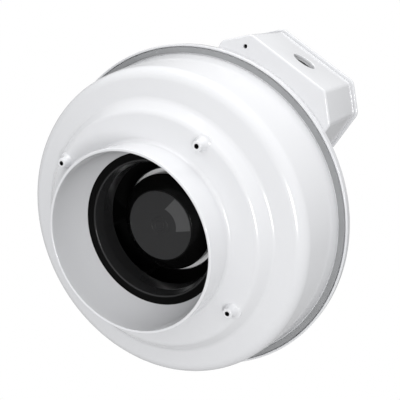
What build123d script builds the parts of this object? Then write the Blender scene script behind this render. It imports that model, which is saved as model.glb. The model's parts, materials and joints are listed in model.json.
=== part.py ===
from build123d import *
import math
import os

# Inline duct fan for a 150 mm round duct, with an external-rotor motor and a centrifugal impeller.
# Millimetres. The fan axis is Y: air enters at -Y and leaves at +Y. The terminal box is at +Z.
# The sizes below are laid out from the plane of the casing flange's front face. The finished part is
# then moved along the axis, so that its origin is at the centre of the inlet spigot's mouth.

os.makedirs("parts", exist_ok=True)

# --- Driving dimensions: duct and casing ------------------------------------------------------
SPIGOT_R = 74.5             # a 150 mm duct slides over a 149 mm spigot
WALL = 2.4                  # moulded wall
INLET_Y = -97.0             # mouth of the inlet spigot
OUTLET_Y = 123.0            # mouth of the outlet spigot
INLET_ROOT_Y = -72.0        # the straight tube of the inlet spigot ends here
OUTLET_ROOT_Y = 86.8
FRONT_BASE_R = 138.1        # front shell where its side meets the flange
REAR_BASE_R = 128.0         # rear shell where its side leaves the flange
FLANGE_R = 143.3            # front shell's flange, nested in the rear shell's rim
FLANGE_T = 3.0              # front flange thickness
REAR_FLANGE_T = 3.5
REAR_FLANGE_Y = FLANGE_T + REAR_FLANGE_T
RIM_R = 146.0               # rear shell's rim, round the front flange
RIM_GAP = 0.8               # seam between the flange and the rim
RIM_Y = -0.8                # front of the rim, level with the sealing strip

STRIP_R = (138.9, 143.2)    # grey sealing strip on the front flange, over the joint
STRIP_T = 1.0

# --- Inlet ----------------------------------------------------------------------------------
LIP_R = 64.7                # inner edge of the white bell inside the spigot
LIP_Y = -58.5
LIP_T = 1.6
CONE_FLANGE_R = 89.0
CONE_T = 2.0
THROAT_R = 54.5
THROAT_Y = -37.0

# --- Front bosses -----------------------------------------------------------------------------
BOSS_PCR = 92.3             # radius of the circle that the four bosses stand on
BOSS_TIP_R = 3.9
BOSS_BASE_R = 7.0
BOSS_TIP_Y = -75.0
BOSS_HOLE_R = 1.9
BOSS_HOLE_DEPTH = 8.0

# --- Rotor and motor --------------------------------------------------------------------------
CAN_R = 46.5
CAN_WALL = 2.0
CAN_FRONT_Y = -32.0
CAN_REAR_Y = 22.0
CAN_STEP_R = 39.5           # the can's front steps back outside the hub cap
CAN_STEP_Y = -25.5
CAP_R = 42.0
CAP_FACE_R = 30.2
CAP_FACE_Y = -46.2
DISC_Y = 6.0                # seat of the impeller on the can's flange
DISC_T = 2.5
CAN_FLANGE_R = 54.0
SHAFT_R = 4.0
BEARING_R = 11.0
BEARING_W = 7.0
FRONT_BEARING_Y = -22.0
REAR_BEARING_Y = 11.0
BALL_R = 1.95
BALL_PITCH_R = 7.5
BALLS = 7
BUSH_R = 13.5
STATOR_R = 33.6
AIR_GAP = 0.4
STACK = (-12.0, 10.0)       # laminations, front to rear
SLOTS = 12
CAGE_BARS = 16
MOTOR_FLANGE_Y = 20.0
MOTOR_FLANGE_T = 4.0
MOTOR_FLANGE_R = 43.5

# --- Impeller ---------------------------------------------------------------------------------
WHEEL_R = 110.0
EYE_R = 57.0
BLADES = 7
BLADE_T = 2.0

# --- Guide vane carrier -------------------------------------------------------------------------
CARRIER_Y = MOTOR_FLANGE_Y + MOTOR_FLANGE_T
CARRIER_T = 3.5
CUP_R = 52.4
CUP_REAR_Y = 72.0
RING_R = 109.6
HOOP_T = 2.6
VANES = 9
EAR_PCR = 115.0
EAR_Y = CARRIER_Y + CARRIER_T

# --- Terminal box -----------------------------------------------------------------------------
BOX_HALF = 57.0
BOX_TOP = 160.0
BOX_BOTTOM = 106.5
BOX_CHAMFER = 19.0
BOX_CORNER = 6.0
BOX_WALL = 2.5
BOX_REAR_Y = 74.0
GASKET_T = 1.2
LID_T = 3.0
LID_OVERHANG = 2.4
ENTRY_R = 10.25             # hole for a 20 mm cable gland
ENTRY_X = 2.5
ENTRY_Y = 40.0
COLLAR_R = 12.5
COLLAR_Z = 156.0
SADDLE_GAP = 0.15           # between the box's curved floor and the rear shell

# --- Motor lead -------------------------------------------------------------------------------
LEAD_R = 3.0
LEAD_Z = 24.0
LEAD_Y = 50.0
LEAD_BEND = 15.0
LEAD_TOP_Z = 138.0

LOW = (Align.CENTER, Align.CENTER, Align.MIN)
HIGH = (Align.CENTER, Align.CENTER, Align.MAX)


# --- Helpers ----------------------------------------------------------------------------------
def corner_parts(before, corner, after):
    """Start, middle and end of the arc that rounds one corner, or None for a sharp corner."""
    x, y = corner[:2]
    radius = corner[2] if len(corner) > 2 else 0.0
    if radius <= 0:
        return None
    a = Vector(before[0] - x, before[1] - y).normalized()
    b = Vector(after[0] - x, after[1] - y).normalized()
    half = math.acos(max(-1.0, min(1.0, a.dot(b)))) / 2
    run = radius / math.tan(half)
    here = Vector(x, y)
    middle = here + (a + b).normalized() * (radius / math.sin(half) - radius)
    return here + a * run, middle, here + b * run


def outline(corners):
    """Flat face inside a closed outline of (x, y) or (x, y, radius) corners."""
    arcs = [corner_parts(corners[i - 1], corners[i], corners[(i + 1) % len(corners)])
            for i in range(len(corners))]
    edges = []
    for i, arc in enumerate(arcs):
        if arc:
            edges.append(ThreePointArc(*arc))
        following = arcs[(i + 1) % len(arcs)]
        start = arc[2] if arc else Vector(*corners[i][:2])
        end = following[0] if following else Vector(*corners[(i + 1) % len(corners)][:2])
        if (end - start).length > 1e-6:
            edges.append(Line(start, end))
    return make_face(edges)


def moved_path(path, distance):
    """An open path of corners moved sideways: a positive distance moves it to its left."""
    shifted = []
    for i in range(len(path) - 1):
        ax, ay = path[i][:2]
        bx, by = path[i + 1][:2]
        size = math.hypot(bx - ax, by - ay)
        nx, ny = -(by - ay) / size * distance, (bx - ax) / size * distance
        shifted.append(((ax + nx, ay + ny), (bx + nx, by + ny)))
    result = [shifted[0][0]]
    for i in range(1, len(shifted)):
        (x1, y1), (x2, y2) = shifted[i - 1]
        (x3, y3), (x4, y4) = shifted[i]
        dx1, dy1, dx2, dy2 = x2 - x1, y2 - y1, x4 - x3, y4 - y3
        cross = dx1 * dy2 - dy1 * dx2
        t = ((x3 - x1) * dy2 - (y3 - y1) * dx2) / cross
        radius = path[i][2] if len(path[i]) > 2 else 0.0
        turn = 1 if cross > 0 else -1
        new_radius = radius - turn * distance if radius > 0 else 0.0
        result.append((x1 + t * dx1, y1 + t * dy1, max(new_radius, 0.0)))
    result.append(shifted[-1][1])
    return result


def turned(corners):
    """Solid of revolution about the fan axis. The corners are (radius, y) or (radius, y, fillet)."""
    return revolve(outline(corners), Axis.Y)


def ring(inner_r, outer_r, y0, y1):
    """Plain ring about the fan axis."""
    return turned([(inner_r, y0), (outer_r, y0), (outer_r, y1), (inner_r, y1)])


def rod(radius, y0, y1, x=0.0, z=0.0):
    """Round rod parallel to the fan axis."""
    return Plane(origin=(x, y0, z), z_dir=(0, 1, 0)) * Cylinder(radius, y1 - y0, align=LOW)


def post(radius, z0, z1, x=0.0, y=0.0):
    """Upright round post."""
    return Pos(x, y, z0) * Cylinder(radius, z1 - z0, align=LOW)


def prism(face, y0, y1):
    """A face drawn in X and Z, made solid from y0 to y1."""
    return extrude(Plane(origin=(0, y1, 0), x_dir=(1, 0, 0), z_dir=(0, -1, 0)) * face, amount=y1 - y0)


def block(x0, x1, y0, y1, z0, z1):
    """Rectangular block between two corners."""
    return Pos((x0 + x1) / 2, (y0 + y1) / 2, (z0 + z1) / 2) * Box(x1 - x0, y1 - y0, z1 - z0)


def around(piece, angles):
    """Copies of a piece turned about the fan axis: an angle of 0 is where it was made."""
    return [Rot(0, angle, 0) * piece for angle in angles]


def polar(radius, angle):
    """x and z at an angle from the top, towards +X."""
    return radius * math.sin(math.radians(angle)), radius * math.cos(math.radians(angle))


def screw(shank_r, length, head_r, head_h):
    """Pan-head screw with a cross recess: its head stands on z = 0 and its shank points down."""
    head = Cylinder(head_r, head_h, align=LOW)
    head = fillet(head.edges().group_by(Axis.Z)[-1], head_h * 0.5)
    arm = head_r * 1.1
    recess = Pos(0, 0, head_h * 0.45) * (Box(arm, 0.7, head_h, align=LOW) + Box(0.7, arm, head_h, align=LOW))
    shank = Cylinder(shank_r, length, align=HIGH)
    shank = chamfer(shank.edges().group_by(Axis.Z)[0], shank_r * 0.5)
    return head - recess + shank


def placed(piece, x, y, z, direction):
    """A piece made along Z, set at a point with its Z turned to a direction."""
    return Plane(origin=(x, y, z), z_dir=direction) * piece


def save(name, shape):
    """Write one node: a single solid, or a group of like pieces."""
    if isinstance(shape, list):
        shape = Compound(children=shape)
    export_step(Pos(0, -INLET_Y, 0) * shape, f"parts/{name}.step")


# --- Casing -----------------------------------------------------------------------------------
front_path = [
    (SPIGOT_R, INLET_Y),
    (SPIGOT_R, -68.2, 3.5),          # root of the spigot
    (98.0, -66.6, 7.0),              # first shoulder
    (106.5, -57.0, 7.0),             # valley
    (130.0, -53.2, 12.0),            # second shoulder
    (FRONT_BASE_R, 0.0, 0.5),        # base of the side
    (FLANGE_R, 0.0),
]
rear_path = [
    (SPIGOT_R, OUTLET_Y),
    (SPIGOT_R, 83.0, 3.5),
    (96.0, 81.0, 7.0),
    (104.0, 70.0, 7.0),
    (122.0, 65.0, 12.0),
    (REAR_BASE_R, FLANGE_T),
]


def filled(path):
    """Everything between the axis and a shell's outer face."""
    return turned([(0.0, path[0][1])] + list(path) + [(0.0, path[-1][1])])


front_envelope = filled(front_path)
rear_envelope = filled(rear_path)
FRONT_TOWER_PCR = 132.6
FRONT_TOWER_R = 3.4
CASING_SCREW_R = 1.5
casing_angles = [36 + 48 * k for k in range(7)]      # clear of the terminal box at the top
cone_angles = [45, 135, 225, 315]
CONE_PCR = 83.0


def thin_shell(path, distance):
    """Moulded wall between a path and the same path moved inwards."""
    inner = moved_path(path, distance)
    return turned(list(path) + inner[::-1])


def inlet_spigot():
    """Straight tube for the duct, with the white bell inside it."""
    bell = [(SPIGOT_R - WALL + 0.1, INLET_Y + 4.0), (SPIGOT_R - WALL, -75.0, 80.0), (LIP_R, LIP_Y)]
    outer = moved_path(bell, -LIP_T)
    outer[-1] = (LIP_R + LIP_T, LIP_Y)
    return ring(SPIGOT_R - WALL, SPIGOT_R, INLET_Y, INLET_ROOT_Y) + turned(bell + outer[::-1])


def outlet_spigot():
    return ring(SPIGOT_R - WALL, SPIGOT_R, OUTLET_ROOT_Y, OUTLET_Y)


def front_shell():
    wall = thin_shell([(SPIGOT_R, INLET_ROOT_Y)] + front_path[1:], WALL)
    body = wall + ring(FRONT_BASE_R - WALL - 1.0, FLANGE_R, 0.0, FLANGE_T)
    towers = [rod(FRONT_TOWER_R, -14.0, FLANGE_T, *polar(FRONT_TOWER_PCR, a)) for a in casing_angles]
    seats = [rod(4.0, -67.0, LIP_Y, *polar(CONE_PCR, a)) for a in cone_angles]
    body += [piece & front_envelope for piece in seats]
    flange_envelope = front_envelope + ring(10.0, FLANGE_R, -0.5, FLANGE_T)
    body += [piece & flange_envelope for piece in towers]
    boss = turned([(0, BOSS_TIP_Y), (BOSS_TIP_R - 0.6, BOSS_TIP_Y), (BOSS_TIP_R, BOSS_TIP_Y + 0.6),
                   (BOSS_TIP_R + 0.3, -71.0, 4.0), (BOSS_BASE_R, -65.6), (0, -65.6)])
    body += [Pos(x, 0, z) * boss for x, z in (polar(BOSS_PCR, 90 * k) for k in range(4))]
    for k in range(4):
        body -= rod(BOSS_HOLE_R, BOSS_TIP_Y - 1, BOSS_TIP_Y + BOSS_HOLE_DEPTH, *polar(BOSS_PCR, 90 * k))
    for a in casing_angles:
        body -= rod(CASING_SCREW_R, -10.0, FLANGE_T + 1, *polar(FRONT_TOWER_PCR, a))
    for a in cone_angles:
        body -= rod(1.4, -64.0, LIP_Y + 1, *polar(CONE_PCR, a))
    return body


box_screw_places = [(x, y) for x in (-26.0, 26.0) for y in (20.0, 46.0)]
ear_angles = [30 + 60 * k for k in range(6)]
SEAL_R = (138.6, 140.6)
SEAL_T = 1.5


def rear_shell():
    body = thin_shell([(SPIGOT_R, OUTLET_ROOT_Y)] + rear_path[1:], -WALL)
    towers = [rod(4.2, EAR_Y, 72.0, *polar(EAR_PCR, a)) for a in ear_angles]
    towers += [post(3.5, 113.0, 130.0, x, y) for x, y in box_screw_places]
    body += [piece & rear_envelope for piece in towers]
    for a in ear_angles:
        body -= rod(1.5, EAR_Y - 1, EAR_Y + 12.0, *polar(EAR_PCR, a))
    for x, y in box_screw_places:
        body -= post(1.5, 116.0, 135.0, x, y)
    return body - post(4.5, 110.0, 130.0, 0, LEAD_Y)


def casing_rim():
    """The rear shell's flange, with the rim that stands round the front flange."""
    lean = (REAR_BASE_R - rear_path[-2][0]) / (rear_path[-2][1] - FLANGE_T)
    body = turned([(REAR_BASE_R, FLANGE_T), (FLANGE_R + RIM_GAP, FLANGE_T), (FLANGE_R + RIM_GAP, RIM_Y, 0.9),
                   (RIM_R, RIM_Y, 0.9), (RIM_R, REAR_FLANGE_Y, 0.8),
                   (REAR_BASE_R - lean * REAR_FLANGE_T, REAR_FLANGE_Y)])
    body -= ring(SEAL_R[0], SEAL_R[1], FLANGE_T, FLANGE_T + SEAL_T)
    for a in casing_angles:
        body -= rod(CASING_SCREW_R, FLANGE_T - 1, REAR_FLANGE_Y + 1, *polar(FRONT_TOWER_PCR, a))
    return body


def joint_strip():
    inner, outer = STRIP_R
    return turned([(inner, 0.0), (inner, -STRIP_T, 0.35), (outer, -STRIP_T, 0.35), (outer, 0.0)])


def casing_screws():
    one = screw(CASING_SCREW_R, 13.0, 2.9, 2.4)
    return [placed(one, x, REAR_FLANGE_Y, z, (0, 1, 0))
            for x, z in (polar(FRONT_TOWER_PCR, a) for a in casing_angles)]


# --- Inlet cone ---------------------------------------------------------------------------------
def inlet_cone():
    # Flat flange behind the white bell, then a rounded mouth that narrows to the throat.
    path = [(CONE_FLANGE_R, LIP_Y), (57.4, LIP_Y, 2.5), (THROAT_R + 0.6, -50.0, 12.0), (THROAT_R, THROAT_Y)]
    body = turned(path + moved_path(path, -CONE_T)[::-1])
    for a in cone_angles:
        body -= rod(1.4, LIP_Y - 1, LIP_Y + CONE_T + 1, *polar(CONE_PCR, a))
    return body


def inlet_cone_screws():
    one = screw(1.4, 7.0, 2.8, 2.2)
    return [placed(one, x, LIP_Y + CONE_T, z, (0, 1, 0))
            for x, z in (polar(CONE_PCR, a) for a in cone_angles)]


# --- Rotor -------------------------------------------------------------------------------------
def hub_cap():
    path = [(CAP_R, CAN_STEP_Y), (CAP_R, -35.5, 3.0), (CAP_FACE_R, CAP_FACE_Y, 1.6), (0.0, CAP_FACE_Y)]
    inner = moved_path(path, -2.0)
    inner[-1] = (0.0, inner[-1][1])
    return turned(path + inner[::-1])


def rotor_can():
    front = [(SHAFT_R, CAN_FRONT_Y), (CAN_STEP_R, CAN_FRONT_Y), (CAN_STEP_R, CAN_STEP_Y),
             (CAN_R, CAN_STEP_Y, 1.5), (CAN_R, CAN_REAR_Y)]
    inner = [(CAN_R - CAN_WALL, CAN_REAR_Y), (CAN_R - CAN_WALL, CAN_STEP_Y + CAN_WALL, 1.0),
             (CAN_STEP_R - CAN_WALL, CAN_STEP_Y + CAN_WALL), (CAN_STEP_R - CAN_WALL, CAN_FRONT_Y + CAN_WALL)]
    boss = [(9.0, CAN_FRONT_Y + CAN_WALL), (9.0, CAN_FRONT_Y + 8.0), (SHAFT_R, CAN_FRONT_Y + 8.0)]
    body = turned(front + inner + boss)
    body += ring(CAN_R - 0.5, CAN_FLANGE_R, DISC_Y, DISC_Y + 2.0)
    for x, z in rivet_places:
        body -= rod(RIVET_R, DISC_Y - 1, DISC_Y + 3, x, z)
    return body


RIVET_R = 1.5
rivet_places = [polar(50.4, 60 * k) for k in range(6)]


def impeller_rivets():
    one = Part() + [rod(RIVET_R, DISC_Y - DISC_T, DISC_Y + 2.0),
                    rod(2.7, DISC_Y - DISC_T - 1.2, DISC_Y - DISC_T), rod(2.7, DISC_Y + 2.0, DISC_Y + 3.2)]
    return [Pos(x, 0, z) * one for x, z in rivet_places]


shroud_path = [(EYE_R, -41.0), (EYE_R, -33.0, 9.0), (84.0, -24.0, 30.0), (WHEEL_R, -19.0)]


def impeller_shroud():
    return turned(shroud_path + moved_path(shroud_path, -2.0)[::-1])


def impeller_wheel():
    disc = ring(CAN_R + 0.2, WHEEL_R, DISC_Y - DISC_T, DISC_Y)
    space = turned([(52.0, DISC_Y - DISC_T), (52.0, shroud_path[0][1])] + shroud_path
                   + [(WHEEL_R, DISC_Y - DISC_T)])
    # Each blade is a circular arc, leaning back from the direction of turning.
    arc_r = 84.0
    centre_x, centre_z = 50.0, 46.0
    arc = Circle(arc_r + BLADE_T / 2) - Circle(arc_r - BLADE_T / 2)
    span = (Circle(WHEEL_R - 1.0) - Circle(62.0)) & (Pos(-60, 0) * Rectangle(120, 240))
    plate = (Pos(centre_x, centre_z) * arc) & span
    plate = sorted(plate.faces(), key=lambda f: f.area)[-1]
    blade = prism(plate, -45.0, DISC_Y - DISC_T) & space
    for x, z in rivet_places:
        disc -= rod(RIVET_R, DISC_Y - DISC_T - 1, DISC_Y + 1, x, z)
    return disc + around(blade, [360 / BLADES * k for k in range(BLADES)])


def motor_shaft():
    body = rod(SHAFT_R, CAN_FRONT_Y + 0.4, 20.0)
    body += rod(5.4, CAN_FRONT_Y + 8.0, FRONT_BEARING_Y)
    body -= ring(3.5, 5.0, REAR_BEARING_Y + BEARING_W, REAR_BEARING_Y + BEARING_W + 0.8)
    return body


def retaining_ring():
    body = ring(3.5, 5.6, REAR_BEARING_Y + BEARING_W, REAR_BEARING_Y + BEARING_W + 0.8)
    return body - block(-1.2, 1.2, REAR_BEARING_Y, REAR_BEARING_Y + 10, 0, 8)


def rotor_core():
    body = ring(STATOR_R + AIR_GAP, CAN_R - CAN_WALL, *STACK)
    for k in range(CAGE_BARS):
        body -= rod(1.7, STACK[0] - 1, STACK[1] + 1, *polar(37.6, 360 / CAGE_BARS * k))
    return body


def rotor_cage():
    bars = [rod(1.7, STACK[0], STACK[1], *polar(37.6, 360 / CAGE_BARS * k)) for k in range(CAGE_BARS)]
    ends = [ring(35.2, CAN_R - CAN_WALL - 0.6, STACK[0] - 3.0, STACK[0]),
            ring(35.2, CAN_R - CAN_WALL - 0.6, STACK[1], STACK[1] + 3.0)]
    return Part() + ends + bars


# --- Bearings ----------------------------------------------------------------------------------
def ball_places(y):
    places = [polar(BALL_PITCH_R, 360 / BALLS * k) for k in range(BALLS)]
    return [(x, y + BEARING_W / 2, z) for x, z in places]


def race_groove(y):
    return revolve(Pos(BALL_PITCH_R, y + BEARING_W / 2) * Circle(BALL_R + 0.06), Axis.Y)


def bearing_inner(y):
    return ring(SHAFT_R, 6.1, y, y + BEARING_W) - race_groove(y)


def bearing_outer(y):
    return ring(8.9, BEARING_R, y, y + BEARING_W) - race_groove(y)


def bearing_balls(y):
    return [Pos(*place) * Sphere(BALL_R) for place in ball_places(y)]


def bearing_cage(y):
    body = ring(6.7, 8.3, y + 1.0, y + BEARING_W - 1.0)
    for x, ball_y, z in ball_places(y):
        body -= placed(Cylinder(BALL_R + 0.05, 12.0, align=LOW), 0, ball_y, 0, (x, 0, z))
    return body


# --- Stator -------------------------------------------------------------------------------------
LEAD_HOLE_R = 3.6
motor_screw_places = [polar(36.0, 45 + 90 * k) for k in range(4)]
SPRING_T = 0.8


def motor_bush():
    """Bearing tube and motor flange, one casting."""
    end = MOTOR_FLANGE_Y + MOTOR_FLANGE_T
    shoulder = FRONT_BEARING_Y + BEARING_W + SPRING_T
    body = turned([(BEARING_R, FRONT_BEARING_Y), (BUSH_R, FRONT_BEARING_Y), (BUSH_R, MOTOR_FLANGE_Y, 1.0),
                   (MOTOR_FLANGE_R, MOTOR_FLANGE_Y), (MOTOR_FLANGE_R, end), (BEARING_R, end),
                   (BEARING_R, REAR_BEARING_Y), (9.0, REAR_BEARING_Y), (9.0, shoulder),
                   (BEARING_R, shoulder)])
    for x, z in motor_screw_places:
        body -= rod(2.0, MOTOR_FLANGE_Y - 1, end + 1, x, z)
    return body - rod(LEAD_HOLE_R, MOTOR_FLANGE_Y - 1, end + 1, 0, LEAD_Z)


def preload_washer():
    y = FRONT_BEARING_Y + BEARING_W
    return ring(9.2, 10.8, y, y + SPRING_T)


def slot_shape(clearance):
    """One winding slot, open towards the air gap."""
    width = 5.0 - 2 * clearance
    deep = Pos(0, 24.0) * Rectangle(width, 12.0 - 2 * clearance)
    return deep


def stator_core():
    body = ring(BUSH_R, STATOR_R, *STACK)
    slot = prism(slot_shape(0.0) + Pos(0, 32.0) * Rectangle(1.6, 6.0), STACK[0] - 1, STACK[1] + 1)
    for turned_slot in around(slot, [360 / SLOTS * k + 15 for k in range(SLOTS)]):
        body -= turned_slot
    return body


def stator_windings():
    bar = prism(slot_shape(0.15), STACK[0] - 1.0, STACK[1] + 1.0)
    body = Part() + around(bar, [360 / SLOTS * k + 15 for k in range(SLOTS)])
    front = turned([(16.5, STACK[0]), (31.0, STACK[0]),
                    (31.0, STACK[0] - 8.0, 3.5), (16.5, STACK[0] - 8.0, 3.5)])
    rear = turned([(16.5, STACK[1]), (16.5, STACK[1] + 8.0, 3.5),
                   (31.0, STACK[1] + 8.0, 3.5), (31.0, STACK[1])])
    return body + front + rear


# --- Guide vane carrier -------------------------------------------------------------------------
def guide_vane_carrier():
    """Hub that carries the motor."""
    body = ring(12.0, CUP_R, CARRIER_Y, EAR_Y) + ring(CUP_R - 2.4, CUP_R, CARRIER_Y, CUP_REAR_Y)
    for x, z in motor_screw_places:
        body -= rod(2.0, CARRIER_Y - 1, EAR_Y + 1, x, z)
    body -= rod(LEAD_HOLE_R, CARRIER_Y - 1, EAR_Y + 1, 0, LEAD_Z)
    return body - post(LEAD_HOLE_R, 45.0, 56.0, 0, LEAD_Y)


def guide_vanes():
    """Curved vanes from the hub to the hoop."""
    arc_r = 70.0
    arc = Circle(arc_r + 1.1) - Circle(arc_r - 1.1)
    span = (Circle(RING_R - HOOP_T) - Circle(CUP_R)) & (Pos(-60, 0) * Rectangle(120, 240))
    plate = (Pos(40.0, 60.0) * arc) & span
    plate = sorted(plate.faces(), key=lambda f: f.area)[-1]
    return around(prism(plate, CARRIER_Y + 4.0, 60.0), [360 / VANES * k for k in range(VANES)])


def vane_hoop():
    """Hoop round the vanes, screwed to the rear shell by its ears."""
    body = ring(RING_R - HOOP_T, RING_R, CARRIER_Y, 45.0)
    ear = rod(6.0, CARRIER_Y, EAR_Y, 0, EAR_PCR) + block(-6.0, 6.0, CARRIER_Y, EAR_Y, RING_R - 1.5, EAR_PCR)
    body += around(ear, ear_angles)
    for a in ear_angles:
        body -= rod(1.5, CARRIER_Y - 1, EAR_Y + 1, *polar(EAR_PCR, a))
    return body


def carrier_screws():
    one = screw(1.5, CARRIER_T + 11.0, 3.0, 2.2)
    return [placed(one, x, CARRIER_Y, z, (0, -1, 0)) for x, z in (polar(EAR_PCR, a) for a in ear_angles)]


def motor_screws():
    one = screw(2.0, CARRIER_T + MOTOR_FLANGE_T - 0.5, 3.6, 2.6)
    return [placed(one, x, EAR_Y, z, (0, 1, 0)) for x, z in motor_screw_places]


def hub_rear_cover():
    rear = CUP_REAR_Y
    return turned([(0, rear + 9.0), (30.0, rear + 9.0, 20.0), (CUP_R, rear + 2.0, 1.5), (CUP_R, rear),
                   (CUP_R - 2.4, rear), (CUP_R - 2.4, rear - 6.0), (CUP_R - 4.4, rear - 6.0),
                   (CUP_R - 4.4, rear + 0.6), (28.0, rear + 7.0, 18.0), (0, rear + 7.0)])


# --- Terminal box -------------------------------------------------------------------------------
def box_face(margin):
    """Cross-section of the box, moved outwards by a margin: chamfered top corners, vertical sides."""
    half, top, bottom = BOX_HALF + margin, BOX_TOP + margin, BOX_BOTTOM - margin
    cut = BOX_CHAMFER + margin * (2 - math.sqrt(2))
    corner = max(BOX_CORNER + margin, 0.5)
    return outline([(-half, bottom, 2.0), (half, bottom, 2.0), (half, top - cut, corner),
                    (half - cut, top, corner), (-half + cut, top, corner), (-half, top - cut, corner)])


lid_screw_places = [(-51.0, 115.0), (51.0, 115.0), (-36.0, 153.5), (36.0, 153.5)]
BLOCK_X = (-43.5, -11.5)
BLOCK_Y = (40.0, 56.0)
BLOCK_Z = (136.0, 149.0)
CAPACITOR_X, CAPACITOR_Z, CAPACITOR_R = 34.0, 143.0, 11.0
CAPACITOR_Y = (12.0, 54.0)
PAD_TOP = 130.0


def terminal_box():
    saddle = filled(moved_path(rear_path, SADDLE_GAP))
    cavity = prism(box_face(-BOX_WALL), REAR_FLANGE_Y + BOX_WALL, BOX_REAR_Y + 1)
    cavity -= filled(moved_path(rear_path, SADDLE_GAP + BOX_WALL))
    body = prism(box_face(0.0), REAR_FLANGE_Y, BOX_REAR_Y) - cavity
    body += post(COLLAR_R, COLLAR_Z, BOX_TOP - 1, ENTRY_X, ENTRY_Y)
    body += [rod(4.0, 60.0, BOX_REAR_Y + GASKET_T, x, z) for x, z in lid_screw_places]
    body += [post(4.0, 118.0, PAD_TOP, x, y) for x, y in box_screw_places]
    body += [post(3.5, 118.0, BLOCK_Z[0], x, 48.0) for x in (BLOCK_X[0] + 6.0, BLOCK_X[1] - 6.0)]
    body += block(CAPACITOR_X - 8, CAPACITOR_X + 8, 28, 38, 120, PAD_TOP)
    body -= saddle
    body -= post(ENTRY_R, COLLAR_Z - 1, BOX_TOP + 1, ENTRY_X, ENTRY_Y)
    body -= post(4.5, 118.0, 132.0, 0, LEAD_Y)
    body -= rod(1.8, REAR_FLANGE_Y - 1, REAR_FLANGE_Y + BOX_WALL + 1, -36.8, 149.2)
    for x, y in box_screw_places:
        body -= post(1.5, 110.0, PAD_TOP + 1, x, y)
    for x, z in lid_screw_places:
        body -= rod(1.4, 64.0, BOX_REAR_Y + 3, x, z)
    return body


def lid_gasket():
    band = prism(box_face(-0.3), BOX_REAR_Y, BOX_REAR_Y + GASKET_T)
    band -= prism(box_face(-BOX_WALL), BOX_REAR_Y - 1, BOX_REAR_Y + GASKET_T + 1)
    for x, z in lid_screw_places:
        band -= rod(4.2, BOX_REAR_Y - 1, BOX_REAR_Y + GASKET_T + 1, x, z)
    return sorted(band.solids(), key=lambda s: s.volume)[-1]


def terminal_lid():
    y = BOX_REAR_Y + GASKET_T
    body = prism(box_face(LID_OVERHANG), y, y + LID_T)
    body = fillet(body.edges().group_by(Axis.Y)[-1], 1.2)
    for x, z in lid_screw_places:
        body -= rod(1.4, y - 1, y + LID_T + 1, x, z)
        body -= rod(3.0, y + LID_T - 1.2, y + LID_T + 1, x, z)
    return body


def lid_screws():
    one = screw(1.4, LID_T - 1.2 + 8.0, 2.7, 2.0)
    return [placed(one, x, BOX_REAR_Y + GASKET_T + LID_T - 1.2, z, (0, 1, 0)) for x, z in lid_screw_places]


def box_screws():
    one = screw(1.5, 12.0, 2.9, 2.0)
    return [placed(one, x, y, PAD_TOP, (0, 0, 1)) for x, y in box_screw_places]


def cable_seal():
    body = post(COLLAR_R - 0.1, COLLAR_Z - 0.9, COLLAR_Z, ENTRY_X, ENTRY_Y)
    return body - post(3.0, COLLAR_Z - 2, COLLAR_Z + 1, ENTRY_X, ENTRY_Y)


POLES = 4


def pole_places():
    pitch = (BLOCK_X[1] - BLOCK_X[0]) / POLES
    return [BLOCK_X[0] + pitch * (k + 0.5) for k in range(POLES)]


def terminal_block():
    body = block(*BLOCK_X, *BLOCK_Y, *BLOCK_Z)
    body = chamfer(body.edges().filter_by(Axis.X), 1.0)
    for x in pole_places():
        body -= rod(1.9, BLOCK_Y[1] - 7.0, BLOCK_Y[1] + 1, x, 145.0)
        body -= block(x - 2.0, x + 2.0, BLOCK_Y[1] - 9.0, BLOCK_Y[1] + 1, 138.0, 141.0)
    return body


def terminal_screws():
    one = screw(1.2, 4.0, 1.9, 1.6)
    return [placed(one, x, BLOCK_Y[1] - 3.0, 145.0, (0, 1, 0)) for x in pole_places()]


def capacitor():
    body = rod(CAPACITOR_R, *CAPACITOR_Y, CAPACITOR_X, CAPACITOR_Z)
    body = fillet(body.edges().filter_by(GeomType.CIRCLE), 1.2)
    tabs = [block(CAPACITOR_X + dx - 0.4, CAPACITOR_X + dx + 0.4, CAPACITOR_Y[1] - 1, CAPACITOR_Y[1] + 5,
                  CAPACITOR_Z - 2.5, CAPACITOR_Z + 2.5) for dx in (-4.0, 4.0)]
    return body + tabs


def capacitor_clip():
    band = rod(CAPACITOR_R + 1.0, 28.0, 38.0, CAPACITOR_X, CAPACITOR_Z)
    foot = block(CAPACITOR_X - 8, CAPACITOR_X + 8, 28.0, 38.0, PAD_TOP, CAPACITOR_Z - CAPACITOR_R + 0.6)
    body = band + foot - rod(CAPACITOR_R, 20.0, 50.0, CAPACITOR_X, CAPACITOR_Z)
    body -= block(CAPACITOR_X - 9, CAPACITOR_X + 9, 20.0, 50.0, CAPACITOR_Z + 6.0, CAPACITOR_Z + 20.0)
    return sorted(body.solids(), key=lambda s: s.volume)[-1]


# --- Motor lead ---------------------------------------------------------------------------------
def motor_lead():
    """Sheathed lead from the windings, through the motor flange and the hub, up into the terminal box."""
    start = Vector(0, STACK[1] + 8.0, LEAD_Z)
    bend = Vector(0, LEAD_Y - LEAD_BEND, LEAD_Z)
    rise = Vector(0, LEAD_Y, LEAD_Z + LEAD_BEND)
    lean = LEAD_BEND * (1 - math.sqrt(0.5))
    middle = Vector(0, LEAD_Y - lean, LEAD_Z + lean)
    route = Wire([Line(start, bend).edge(), ThreePointArc(bend, middle, rise).edge(),
                  Line(rise, Vector(0, LEAD_Y, LEAD_TOP_Z)).edge()])
    return sweep(Plane(origin=start, z_dir=(0, 1, 0)) * Circle(LEAD_R), path=route)


def lead_grommet():
    body = post(4.5, 119.4, 129.0, 0, LEAD_Y)
    body += post(6.5, 118.4, 119.6, 0, LEAD_Y)
    body += post(6.5, 128.6, 130.0, 0, LEAD_Y)
    return body - post(LEAD_R, 110.0, 140.0, 0, LEAD_Y)


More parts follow.
